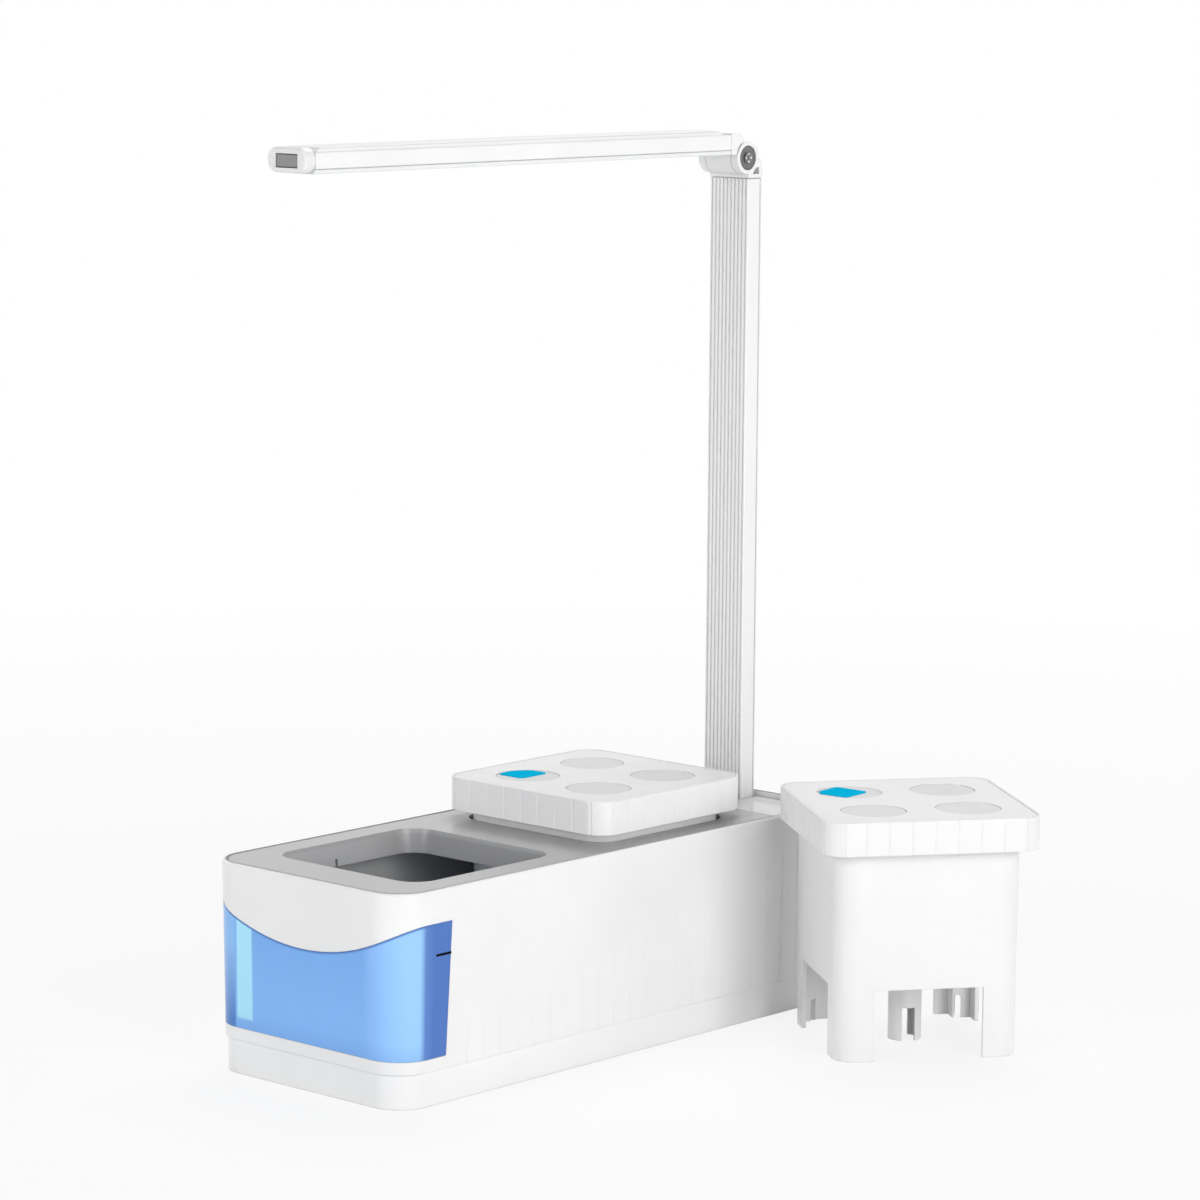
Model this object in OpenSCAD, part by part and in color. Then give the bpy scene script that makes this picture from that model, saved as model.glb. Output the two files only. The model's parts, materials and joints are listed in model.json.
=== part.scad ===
// Countertop hydroponic garden: a water tank with a deck for two planters and a folding grow lamp.
// Origin: middle of the tank's underside, +Z up, the tank's window end towards -Y.

/* [Tank] */
// Outer width of the tank at its rim
tank_w = 145.5; // [138:0.5:170]
// Height of the rim above the table
rim_z = 114.5; // [108:0.5:130]
// Height of the seam between the base pan and the shell
seam_z = 18.7; // [14:0.1:24]
// Plan radius of the tank's corners at the rim
corner_r = 21.5; // [14:0.5:30]
// How far each side leans in from the rim down to the seam
side_draft = 1.3; // [0.4:0.1:2.4]
// Step from the shell in to the base pan
base_step = 1.5; // [0.6:0.1:2.4]
// Wall of the shell
shell_wall = 2.6; // [2:0.1:3.6]
// Radius of the rim's outer edge
rim_r = 2.2; // [0.6:0.1:2.4]
// Wall of the base pan
pan_wall = 2.4; // [2:0.1:3.2]
// Height of the tank's inner floor above the table
floor_z = 4.4; // [4:0.1:7]
// Thickness of the tank's floor
floor_t = 2.4; // [1.8:0.1:2.6]
// Diameter of a rubber foot
foot_d = 14; // [10:0.5:18]
// Thickness of a rubber foot, let into the pan's underside
foot_t = 1.4; // [1:0.1:1.8]
// Pitch of the fine upright grooves on the long sides
side_groove_pitch = 12.7; // [10:0.1:16]

/* [Window] */
// Height of the window's lower edge
window_z = 25.6; // [22:0.1:32]
// How far the curved upper edge dips below the rim
window_dip = 38.1; // [32:0.1:50]
// Radius of the curved upper edge
window_arc_r = 138; // [120:1:170]
// Length of the window along each side, at its lower edge
window_side_l = 33.7; // [28:0.1:50]
// How much longer the window is at its upper edge
window_lean = 4.4; // [0:0.1:8]
// Thickness of the window behind the shell's inner face
window_back_t = 1.6; // [1.2:0.1:2.4]
// How far the window laps behind the shell
window_lap = 3; // [2:0.1:5]
// Height of the black level mark
mark_z = 80; // [60:0.5:90]
// Length of the black level mark
mark_l = 10.8; // [6:0.1:16]

/* [Deck] */
// Gap between the pot and the lower edge of its opening
pot_gap = 0.5; // [0.3:0.05:1]
// How much an opening widens on each side towards its top
funnel = 1.8; // [0.6:0.1:2.6]
// Depth of the collar round an opening
collar_h = 13.4; // [8:0.1:20]
// Wall of the collar
collar_wall = 1.8; // [1.4:0.1:2.4]
// Distance from the rim's front to the front opening
front_margin = 32; // [28:0.5:44]
// Deck between the two openings
opening_gap = 38.9; // [24:0.1:60]
// Deck behind the rear opening
rear_margin = 20.8; // [16:0.1:36]
// Length of the dry bay behind the deck
bay_l = 52.5; // [44:0.5:80]
// Thickness of the deck and of the lamp cover
deck_t = 2.4; // [2:0.1:3.2]
// How far the deck lies below the rim
deck_drop = 0.3; // [0.1:0.1:0.6]
// How far the lamp cover lies below the rim
cover_drop = 3.5; // [2.8:0.1:6]
// Gap round the deck
deck_gap = 0.5; // [0.2:0.05:0.6]
// Gap round the lamp cover and at the post's foot
cover_gap = 0.8; // [0.4:0.05:1]

/* [Planter] */
// Width of the pot at its top
pot_w = 103.4; // [98:0.1:103.6]
// Plan radius of the pot's corners at its top
pot_r = 12.6; // [9:0.1:13]
// How far each side of the pot leans in over its height
pot_draft = 0.75; // [0.3:0.05:1.2]
// Wall of the pot and of its legs
pot_wall = 2.4; // [1.8:0.1:3]
// Height of the legs under the pot's floor
leg_h = 39.2; // [30:0.1:48]
// Width of a leg along the pot's front and rear
leg_w = 21.6; // [17:0.1:28]
// Width of a leg along the pot's two other sides
leg_side_w = 20.7; // [17:0.1:28]
// Outer diameter of the intake tube
tube_d = 18.4; // [14:0.1:24]
// Width of the slot in the intake tube
tube_slot_w = 7.3; // [4:0.1:10]
// Height of the slot in the intake tube
tube_slot_h = 18.5; // [10:0.1:26]
// Width of the keying slot through two of the legs
key_slot_w = 3.8; // [3:0.1:5]
// Height of the keying slot, to the crown of its arch
key_slot_h = 13; // [6:0.1:16]

/* [Lid] */
// How far the lid's skirt stands out from the pot
lid_overhang = 8.55; // [6:0.05:12]
// How far the lid's skirt stays above the tank's rim
lid_clear = 5; // [3:0.1:12]
// Plan radius of the lid's corners
lid_r = 13; // [9:0.5:18]
// Height of the lid's skirt
lid_h = 18.4; // [14:0.1:24]
// Width of the ring round the lid's top panel
lid_lip = 1.4; // [1:0.1:2]
// Thickness of the lid's top panel
panel_t = 2.6; // [2.2:0.1:3.2]
// Pitch of the grooves round the skirt
lid_groove_pitch = 12.75; // [10:0.05:16]
// Depth of those grooves
lid_groove_d = 0.45; // [0.2:0.05:0.8]
// Width of those grooves
lid_groove_w = 1.8; // [1:0.1:2.4]
// Pitch of the four planting holes
hole_pitch = 53; // [46:0.5:58]
// Diameter of a planting hole's recess
hole_d = 36; // [30:0.5:42]
// Ledge that a plug rests on
hole_ledge = 1.7; // [1:0.1:2.4]
// How far a plug lies below the lid's top
plug_drop = 0.6; // [0.3:0.1:0.8]
// Side of the square blue tab before the plug's rim cuts it
tab_w = 21; // [14:0.5:26]

/* [Standing planter] */
// Gap between the tank's side and the lid of the planter that stands beside it
stand_gap = 3.8; // [2:0.1:60]
// How far its middle stands in front of the tank's rear end
stand_back = 41.8; // [30:0.1:140]
// Its turn about the upright
stand_turn = -36.8; // [-60:0.1:-20]

/* [Post] */
// Width of the post
post_w = 28; // [24:0.5:34]
// Depth of the post
post_d = 12.1; // [10:0.1:14]
// Height of the post's top above the table
post_top_z = 465.6; // [300:0.1:560]
// Wall of the post
post_wall = 1.6; // [1.2:0.1:2.2]
// Pitch of the grooves on the post's front
post_groove_pitch = 2.75; // [2.2:0.05:2.85]
// Width of a groove
post_groove_w = 1.25; // [0.8:0.05:1.6]
// Number of grooves on the post's front
post_groove_n = 10; // [6:1:10]
// Gap between the post and the tank's rear wall
post_gap = 2; // [1.6:0.1:4]

/* [Hinge] */
// Height of the hinge axis above the post's top
hinge_rise = 11.9; // [11.6:0.1:16]
// Radius of the hinge barrel
barrel_r = 9.15; // [8:0.05:10]
// Length of the hinge barrel across both ears
barrel_l = 29; // [26:0.5:36]
// Thickness of an ear
ear_t = 4.8; // [4:0.1:6]
// Radius of the hinge pin
pin_r = 3; // [2:0.1:3.6]
// Radius of the dark cap in an ear
cap_r = 6.8; // [5:0.1:7.2]
// Thickness of the friction washers
washer_t = 0.5; // [0.3:0.05:0.8]
// Gap round the ears inside the arm's end block
ear_gap = 1.1; // [0.4:0.1:1.6]

/* [Lamp arm] */
// Width of the arm
arm_w = 29; // [26:0.5:36]
// Length of the arm from the hinge axis to the tip
arm_l = 344.5; // [200:0.5:400]
// Height of the arm's underside above the hinge axis
arm_under = 2.1; // [1:0.1:3]
// Height of the arm without its top strip
arm_h = 11.1; // [10:0.1:14]
// Height of the diffuser that shows under the housing
diffuser_h = 2.5; // [2:0.1:3.4]
// Wall of the arm's housing
arm_wall = 1.6; // [1.2:0.1:2.2]
// Length of the end block at the hinge
block_l = 14.5; // [12:0.1:20]
// Height of the raised top strip
strip_h = 2.4; // [1:0.1:3]
// Width of the raised top strip
strip_w = 24; // [16:0.5:26]
// Length of the end cap outside the housing
cap_l = 6.6; // [5:0.1:10]
// Width of the push switch's button
button_w = 15.4; // [10:0.1:18]
// Height of the push switch's button
button_h = 6.5; // [4:0.1:8]
// Gap round the button
button_gap = 0.35; // [0.2:0.05:0.6]
// Travel of the button
button_travel = 0.8; // [0.4:0.1:1]
// Rows of lamps along the arm
led_n = 22; // [8:1:26]
// Distance between the two lines of lamps
led_line = 12; // [9:0.5:15]

/* [Hidden] */
$fn = 48;
over = 1;                        // how far a cutting shape runs past what it cuts
skin = 0.01;                     // thickness of the sections that a drafted body is hulled from
hull_fn = 32;
fit = 0.1;                       // gap between fixed pieces that lie side by side
running = 0.05;                  // radial clearance of the hinge pin

// Sizes that follow from the others
opening_w = pot_w + 2*pot_gap;
opening_r = pot_r + 0.2;
tank_l = front_margin + 2*opening_w + opening_gap + rear_margin + bay_l;
lid_w = pot_w + 2*lid_overhang;
planter_h = rim_z - floor_z + lid_clear + lid_h;

// Levels of the tank
rear_y = tank_l/2;
pan_w = tank_w - 2*side_draft - 2*base_step;
pan_l = tank_l - 2*side_draft - 2*base_step;
pan_r = corner_r - side_draft - base_step;
pan_in_w = pan_w - 2*pan_wall;
pan_in_l = pan_l - 2*pan_wall;
ledge_z = rim_z - cover_drop - deck_t;
ledge_w = 2.6;
ledge_h = 2;
deck_z = rim_z - deck_drop;
recess_w = tank_w - 2*shell_wall;
recess_l = tank_l - 2*shell_wall;
recess_r = corner_r - shell_wall;
ledge_in_w = recess_w - 2*ledge_w;
seam_w = tank_w - 2*side_draft;
seam_l = tank_l - 2*side_draft;
seam_r = corner_r - side_draft;
tongue_h = 4;
draft_angle = atan(side_draft/(rim_z - rim_r - seam_z));
groove_r = 0.7;
groove_depth = 0.25;

// Places along the tank
open_front_y = -rear_y + front_margin + opening_w/2;
open_rear_y = open_front_y + opening_w + opening_gap;
deck_rear_y = open_rear_y + opening_w/2 + rear_margin;
bay_wall_t = 2.4;
bay_flange = 7;
window_y = -rear_y + side_draft + window_side_l;
window_dip_z = rim_z - window_dip;

// Post, bracket and hinge
post_y = rear_y - shell_wall - post_gap - post_d/2;
post_foot_z = 42;
bracket_t = 1.2;
bracket_top_z = ledge_z - 8;
bracket_foot_l = 16;
axis_y = post_y - post_d/2 - 0.8;
axis_z = post_top_z + hinge_rise;
saddle_t = 2.7;
ear_in = barrel_l/2 - ear_t;
knuckle_half = ear_in - washer_t - running;

// Arm
arm_z = axis_z + arm_under;
arm_top = arm_z + arm_h;
housing_z = arm_z + diffuser_h;
block_y = axis_y - block_l;
tip_y = axis_y - arm_l;
cap_y = tip_y + cap_l;
housing_y0 = cap_y + fit;
cap_tongue = 8;
housing_y1 = block_y - fit;
web_t = 1.8;
rib_t = 1.1;
tongue_half = arm_w/2 - arm_wall - rib_t - 2*fit;
knuckle_screw_x = 8;
board_t = 1.2;
board_top = arm_top - web_t;
led_h = 0.8;
cap_h = arm_h - 0.5 + strip_h;
cap_z = arm_top + strip_h - cap_h;
cap_face_r = 6;
button_z = cap_z + cap_h/2 - 0.3;
button_t = 3.2;
button_drop = 0.4;

// Planter
seat_rear = [0, open_rear_y, floor_z];
stand_reach = (lid_w/2 - lid_r)*(cos(stand_turn) + sin(abs(stand_turn))) + lid_r;
seat_side = [tank_w/2 + stand_gap + stand_reach, rear_y - stand_back, 0];
panel_z = planter_h - panel_t;
skirt_z = planter_h - lid_h;
pot_floor_t = 2.4;
lid_wall = 2;
plug_top_t = 1;
plug_gap = 0.2;
plug_skirt_h = 7;
tab_t = 0.5;
tab_r = 2.5;
rear_tab = [-8.7, 3.4, 0];       // middle and turn of the tab, from the middle of its plug
side_tab = [-2.5, -4, 42];

// ---------- shared shapes ----------

// Rounded rectangle about the origin, in the plane
module rounded(w, l, r) {
    square([w - 2*r, l], center = true);
    square([w, l - 2*r], center = true);
    for (x = [-1, 1], y = [-1, 1])
        translate([x*(w/2 - r), y*(l/2 - r)]) circle(r = r);
}

// Upright block with a rounded plan, from z0 to z1
module block(w, l, r, z0, z1) {
    translate([0, 0, z0]) linear_extrude(z1 - z0) rounded(w, l, r);
}

// Thin section of a drafted body
module section(w, l, r, z) {
    translate([0, 0, z]) linear_extrude(skin) rounded(w, l, r, $fn = hull_fn);
}

// Drawn shape in X and Z, run along Y from y0 to y1
module along_y(y0, y1) {
    translate([0, y1, 0]) rotate([90, 0, 0]) linear_extrude(y1 - y0) children();
}

// Drawn shape in Y and Z, run along X from x0 to x1
module along_x(x0, x1) {
    translate([x0, 0, 0]) rotate([90, 0, 90]) linear_extrude(x1 - x0) children();
}

// Cylinder along X about a given axis
module bar_x(r, x0, x1, y, z) {
    translate([x0, y, z]) rotate([0, 90, 0]) cylinder(r = r, h = x1 - x0);
}

// Pan-head screw at the origin, its head up and its shank down
module screw(shank_r, head_r, shank_l, head_h) {
    difference() {
        union() {
            cylinder(r = head_r, h = head_h);
            translate([0, 0, -shank_l]) cylinder(r = shank_r, h = shank_l + head_h/2);
        }
        for (a = [0, 90]) rotate([0, 0, a])
            translate([-head_r*0.62, -head_r*0.13, head_h*0.45])
                cube([head_r*1.24, head_r*0.26, head_h]);
    }
}

// ---------- tank ----------

// How far the side lies inside the rim's outline at a given height
function lean(z) = side_draft*(rim_z - rim_r - z)/(rim_z - rim_r - seam_z);

// Outer body of the shell with its rounded rim
module shell_body() {
    hull() {
        section(seam_w, seam_l, seam_r, seam_z);
        section(tank_w, tank_l, corner_r, rim_z - rim_r);
        for (a = [30, 60, 90]) {
            roll = rim_r*(1 - cos(a));
            section(tank_w - 2*roll, tank_l - 2*roll, corner_r - roll, rim_z - rim_r + rim_r*sin(a) - skin);
        }
    }
}

// Space inside a wall of thickness t, from z_low to z_high
module shell_space(t, z_low, z_high) {
    hull()
        for (z = [z_low, z_high]) {
            in = t + lean(z);
            section(tank_w - 2*in, tank_l - 2*in, corner_r - in, z);
        }
}

// Region of the window, grown by "grow" all round
module window_region(grow) {
    difference() {
        along_x(-tank_w, tank_w)
            polygon([[-tank_l, window_z - grow], [window_y + grow, window_z - grow],
                [window_y + window_lean + grow, rim_z], [-tank_l, rim_z]]);
        translate([0, -tank_l - over, window_dip_z + window_arc_r]) rotate([-90, 0, 0])
            cylinder(r = window_arc_r - grow, h = 2*tank_l, $fn = 180);
    }
}

module base_pan() {
    tongue_w = seam_w - 2*shell_wall - 2*fit;
    tongue_l = seam_l - 2*shell_wall - 2*fit;
    hollow_w = pan_w - 2*foot_rim;
    color("whitesmoke") {
        difference() {
            union() {
                block(pan_w, pan_l, pan_r, 0, seam_z);
                block(tongue_w, tongue_l, seam_r - shell_wall - fit, seam_z - over, seam_z + tongue_h);
            }
            block(pan_in_w, pan_in_l, pan_r - pan_wall, floor_z, seam_z + tongue_h + over);
            difference() {
                block(hollow_w, pan_l - 2*foot_rim, pan_r - foot_rim, -over, floor_z - floor_t);
                for (x = [-1, 1], y = [-1, 1])
                    translate([x*foot_x, y*foot_y, -2*over]) cylinder(d = foot_d + 5, h = floor_z);
            }
            for (x = [-1, 1], y = [-1, 1])
                translate([x*foot_x, y*foot_y, -over]) cylinder(d = foot_d + 2*fit, h = foot_t + over);
        }
        for (p = bracket_points()) pan_boss(p, 3.6, bracket_screw_r);
        for (p = board_points()) pan_boss(p, 3.2, board_screw_r);
    }
}
foot_rim = 6;
foot_inset = 20;
foot_x = pan_w/2 - foot_inset;
foot_y = pan_l/2 - foot_inset;
boss_h = 4;
bracket_screw_r = 1.3;
board_screw_r = 1.1;

// Screw boss on the tank's floor
module pan_boss(p, r, bore_r) {
    root = floor_t/2;
    translate([p[0], p[1], floor_z - root])
        difference() {
            cylinder(r = r, h = boss_h + root);
            translate([0, 0, floor_t]) cylinder(r = bore_r, h = boss_h);
        }
}

module rubber_feet() {
    color("dimgray")
        for (x = [-1, 1], y = [-1, 1])
            translate([x*foot_x, y*foot_y, 0])
                rotate_extrude() polygon([[0, 0], [foot_d/2 - 0.5, 0], [foot_d/2, 0.5],
                    [foot_d/2, foot_t], [0, foot_t]]);
}

module tank_shell() {
    color("white")
        difference() {
            union() {
                difference() {
                    shell_body();
                    shell_space(shell_wall, seam_z - over, rim_z + over);
                }
                // ledge that carries the deck and the lamp cover, notched for the post
                difference() {
                    block(recess_w + 0.6, recess_l + 0.6, recess_r + 0.3, ledge_z - ledge_h, ledge_z);
                    block(ledge_in_w, recess_l - 2*ledge_w, recess_r - ledge_w,
                        ledge_z - ledge_h - over, ledge_z + over);
                    translate([-post_w/2 - deck_gap, post_y - post_d/2, ledge_z - 2*ledge_h])
                        cube([post_w + 2*deck_gap, post_d + 2*deck_gap, 3*ledge_h]);
                }
            }
            window_region(0);
            side_grooves();
            translate([inlet_x, rear_y + over, inlet_z]) rotate([90, 0, 0])
                cylinder(r = inlet_r + fit, h = 2*shell_wall + 2*over);
        }
}
inlet_inset = 25.5;
inlet_x = pan_in_w/2 - inlet_inset;
inlet_z = 34;
inlet_r = 5.6;
inlet_flange_r = 7.4;

flute_low = 22;
flute_end = 12;

// Fine upright grooves that fade out along a wave on the long sides
module side_grooves() {
    first = window_y + window_lean + flute_low/2;
    count = floor((rear_y - corner_r - first)/side_groove_pitch);
    for (side = [-1, 1], i = [0:count]) {
        y = first + i*side_groove_pitch;
        wave = 0.5 - 0.5*cos(180*i/count);
        top = seam_z + flute_low + (ledge_z - flute_end - seam_z - flute_low)*wave;
        translate([side*(seam_w/2 + groove_r - groove_depth), y, seam_z - over])
            rotate([0, side*draft_angle, 0]) {
                cylinder(r = groove_r, h = top - seam_z, $fn = 24);
                translate([0, 0, top - seam_z]) sphere(r = groove_r, $fn = 24);
            }
    }
}

module water_window() {
    color([0.3, 0.62, 0.93, 0.7]) {
        intersection() {
            difference() {
                shell_body();
                shell_space(shell_wall, seam_z - over, rim_z + over);
            }
            window_region(-fit);
        }
        intersection() {
            difference() {
                shell_space(shell_wall + fit, seam_z + tongue_h, ledge_z - ledge_h);
                shell_space(shell_wall + fit + window_back_t, seam_z - over, rim_z + over);
            }
            window_region(window_lap);
        }
        // bridge between the flush face and its backing flange
        intersection() {
            difference() {
                shell_space(shell_wall - fit, seam_z, rim_z);
                shell_space(shell_wall + 2*fit, seam_z - over, rim_z + over);
            }
            window_region(-fit);
        }
    }
}

module level_mark() {
    mark_t = 0.3;
    mark_h = 1.2;
    mark_end = window_y + window_lean*(mark_z - window_z)/(rim_z - window_z);
    color("black")
        translate([tank_w/2 - lean(mark_z), mark_end - mark_l, mark_z]) rotate([0, draft_angle, 0])
            translate([0, 0, -mark_h/2]) cube([mark_t, mark_l, mark_h]);
}

// Funnel of an opening, grown by "grow" all round, from z_low to the deck's top and beyond
module funnel_shape(grow, z_low, z_high) {
    base = opening_w + 2*grow;
    hull() {
        section(base, base, opening_r + grow, z_low);
        section(base + 2*funnel, base + 2*funnel, opening_r + grow + funnel, z_high);
    }
}

// Plan of the deck: round front corners, a straight rear edge
module deck_plan(inset) {
    intersection() {
        rounded(recess_w - 2*deck_gap - 2*inset, recess_l - 2*deck_gap - 2*inset,
            recess_r - deck_gap - inset);
        translate([-tank_w, -tank_l]) square([2*tank_w, tank_l + deck_rear_y - inset]);
    }
}

module deck_plate() {
    collar_z = deck_z - collar_h;
    color("lightgray")
        difference() {
            union() {
                translate([0, 0, deck_z - deck_t]) linear_extrude(deck_t) deck_plan(0);
                translate([0, 0, ledge_z]) linear_extrude(deck_z - deck_t/2 - ledge_z)
                    difference() {
                        deck_plan(0);
                        deck_plan(2);
                    }
                for (y = [open_front_y, open_rear_y]) translate([0, y, 0])
                    funnel_shape(collar_wall, collar_z, deck_z - deck_t/2);
            }
            for (y = [open_front_y, open_rear_y]) translate([0, y, 0]) {
                funnel_shape(0, collar_z, deck_z);
                block(opening_w, opening_w, opening_r, collar_z - over, collar_z + over);
                block(opening_w + 2*funnel, opening_w + 2*funnel, opening_r + funnel,
                    deck_z - skin, deck_z + over);
                // drip notch in the collar
                translate([-opening_w/2 - 2*collar_wall, -notch_off - notch_w/2, collar_z - over])
                    cube([3*collar_wall, notch_w, notch_h + over]);
            }
        }
}
notch_off = 6.7;
notch_w = 1.8;
notch_h = 4;

// Wall between the water and the dry bay under the lamp cover
module bay_wall() {
    low = pan_in_w/2 - fit;
    top = ledge_in_w/2 - fit;
    z1 = seam_z + tongue_h + fit;
    z2 = ledge_z - ledge_h - fit;
    x1 = tank_w/2 - lean(z1) - shell_wall - fit;
    x2 = tank_w/2 - lean(z2) - shell_wall - fit;
    color("gainsboro") {
        along_y(deck_rear_y - bay_wall_t/2, deck_rear_y + bay_wall_t/2)
            polygon([[-low, floor_z], [low, floor_z], [low, z1], [x1, z1], [x2, z2], [top, z2],
                [top, ledge_z], [-top, ledge_z], [-top, z2], [-x2, z2], [-x1, z1], [-low, z1]]);
        translate([-top, deck_rear_y - bay_flange/2, ledge_z - ledge_h])
            cube([2*top, bay_flange, ledge_h]);
        translate([-low, deck_rear_y - bay_flange/2, floor_z])
            cube([2*low, bay_flange, 1.6]);
    }
}

module lamp_cover() {
    front = deck_rear_y + deck_gap;
    color("white")
        difference() {
            translate([0, 0, ledge_z]) linear_extrude(deck_t)
                intersection() {
                    rounded(recess_w - 2*cover_gap, recess_l - 2*cover_gap, recess_r - cover_gap);
                    translate([-tank_w, front]) square([2*tank_w, tank_l]);
                }
            // slot for the post, open to the rear
            translate([-post_w/2 - cover_gap, post_y - post_d/2 - cover_gap, ledge_z - over])
                cube([post_w + 2*cover_gap, tank_l, deck_t + 2*over]);
        }
}

function bracket_points() = [for (x = [-1, 1]) [x*(post_w/2 + bracket_t + 9), post_y]];
function board_points() = [for (x = [-1, 1], y = [-1, 1])
    [board_x + x*(board_w/2 - 4), board_y + y*(board_l/2 - 4)]];
bracket_front = post_y - post_d/2 - bracket_t - fit;
bay_front = deck_rear_y + bay_flange/2;
board_w = 44;
board_l = bracket_front - bay_front - 6;
board_x = board_w/2 + 3.5 - pan_in_w/2;
board_y = (bay_front + bracket_front)/2;
board_z = floor_z + boss_h;

// Folded steel channel that holds the post's foot
module post_bracket() {
    out = bracket_t + fit;
    foot_level = floor_z + boss_h;
    front = bracket_front;
    depth = pan_in_l/2 - 2*fit - front;
    color("silver")
        difference() {
            union() {
                translate([-post_w/2 - out, front, foot_level])
                    cube([post_w + 2*out, bracket_t, bracket_top_z - foot_level]);
                for (x = [-1, 1])
                    translate([x*(post_w/2 + out - bracket_t/2) - bracket_t/2, front, foot_level])
                        cube([bracket_t, depth, bracket_top_z - foot_level]);
                translate([-post_w/2 - out - bracket_foot_l, front, foot_level])
                    cube([post_w + 2*out + 2*bracket_foot_l, depth, bracket_t]);
                translate([-post_w/2 - out, front, post_foot_z - bracket_t])
                    cube([post_w + 2*out, depth, bracket_t]);
            }
            for (p = bracket_points()) translate([p[0], p[1], floor_z])
                cylinder(r = bracket_screw_r + 0.4, h = 3*boss_h);
            translate([0, post_y, post_foot_z - 2*bracket_t])
                cylinder(r = lead_r + 1.4, h = 4*bracket_t);
            // opening for the lead
            translate([-lead_hole/2, front - over, lead_z - lead_hole/2])
                cube([lead_hole, bracket_t + 2*over, lead_hole]);
        }
}
lead_r = 1.8;
lead_hole = 16;
lead_z = post_foot_z - lead_hole;

module bracket_screws() {
    color("gray") {
        for (p = bracket_points()) translate([p[0], p[1], floor_z + boss_h + bracket_t])
            screw(bracket_screw_r, 3, boss_h - 0.5, 1.8);
    }
}

module driver_board() {
    color("darkgreen")
        difference() {
            translate([board_x - board_w/2, board_y - board_l/2, board_z])
                cube([board_w, board_l, 1.6]);
            for (p = board_points()) translate([p[0], p[1], board_z - over]) cylinder(r = 1.5, h = 4);
        }
}

// Coil, capacitors and terminal block on the driver board
module driver_parts() {
    top = board_z + 1.6;
    color("dimgray") {
        translate([board_x - 11, board_y, top]) cylinder(r = 5, h = 7);
        for (y = [-1, 1]) translate([board_x + 2, board_y + y*4.5, top]) cylinder(r = 3.1, h = 9);
        translate([board_x + terminal_x - 3, board_y - 4, top]) cube([6, 8, 6]);
    }
}

terminal_x = 12;

module board_screws() {
    color("gray")
        for (p = board_points()) translate([p[0], p[1], board_z + 1.6])
            screw(board_screw_r, 2.2, boss_h, 1.4);
}

// Barrel jack set in the rear wall
module dc_inlet() {
    inner_y = rear_y - lean(inlet_z - inlet_flange_r) - shell_wall - fit;
    color("black")
        difference() {
            union() {
                translate([inlet_x, rear_y - 0.5, inlet_z]) rotate([90, 0, 0])
                    cylinder(r = inlet_r, h = rear_y - 0.5 - inner_y);
                translate([inlet_x, inner_y, inlet_z]) rotate([90, 0, 0])
                    cylinder(r = inlet_flange_r, h = 2);
                translate([inlet_x - 4.5, inner_y - 10, inlet_z - 4.5]) cube([9, 9, 9]);
            }
            difference() {
                translate([inlet_x, rear_y + over, inlet_z]) rotate([90, 0, 0])
                    cylinder(r = 2.8, h = 10 + over);
                translate([inlet_x, rear_y - 2, inlet_z]) rotate([90, 0, 0])
                    cylinder(r = 1, h = 12);
            }
        }
}

// ---------- post and hinge ----------

post_groove_d = 0.8;
saddle_screw_r = 1.1;

module post() {
    groove_x0 = -(post_groove_n - 1)/2*post_groove_pitch;
    color("white")
        difference() {
            translate([0, post_y, post_foot_z]) linear_extrude(post_top_z - post_foot_z)
                difference() {
                    rounded(post_w, post_d, 0.8);
                    translate([0, 0.2])
                        square([post_w - 2*post_wall, post_d - 2*post_wall - 0.4], center = true);
                    for (i = [0:post_groove_n - 1])
                        translate([groove_x0 + i*post_groove_pitch, -post_d/2])
                            square([post_groove_w, 2*post_groove_d], center = true);
                }
            for (x = [-1, 1]) translate([x*saddle_screw_x, post_y, post_top_z - tongue_l/2])
                rotate([-90, 0, 0]) cylinder(r = saddle_screw_r + fit, h = post_d);
        }
}

// Two-core lead from the driver board up through the post
module post_lead() {
    bend = 8;
    low = lead_z;
    run_y = post_y - bend;
    color("black") {
        translate([0, post_y, low + bend])
            cylinder(r = lead_r, h = post_top_z + saddle_t - low - bend - 0.4);
        translate([0, run_y, low + bend]) rotate([90, 0, 90])
            rotate_extrude(angle = -90) translate([bend, 0]) circle(r = lead_r);
        translate([0, run_y, low]) rotate([90, 0, 0])
            cylinder(r = lead_r, h = run_y - (board_y + bend));
        translate([-bend, board_y + bend, low])
            rotate_extrude(angle = -90) translate([bend, 0]) circle(r = lead_r);
        translate([-bend, board_y, low]) rotate([0, -90, 0])
            cylinder(r = lead_r, h = -2*bend - board_x - terminal_x);
        translate([board_x + terminal_x + bend, board_y, low - bend]) rotate([90, 0, 0])
            rotate_extrude(angle = 90, start = 90) translate([bend, 0]) circle(r = lead_r);
        translate([board_x + terminal_x, board_y, board_z + 7.6])
            cylinder(r = lead_r, h = low - bend - board_z - 7.6);
    }
}

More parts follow.
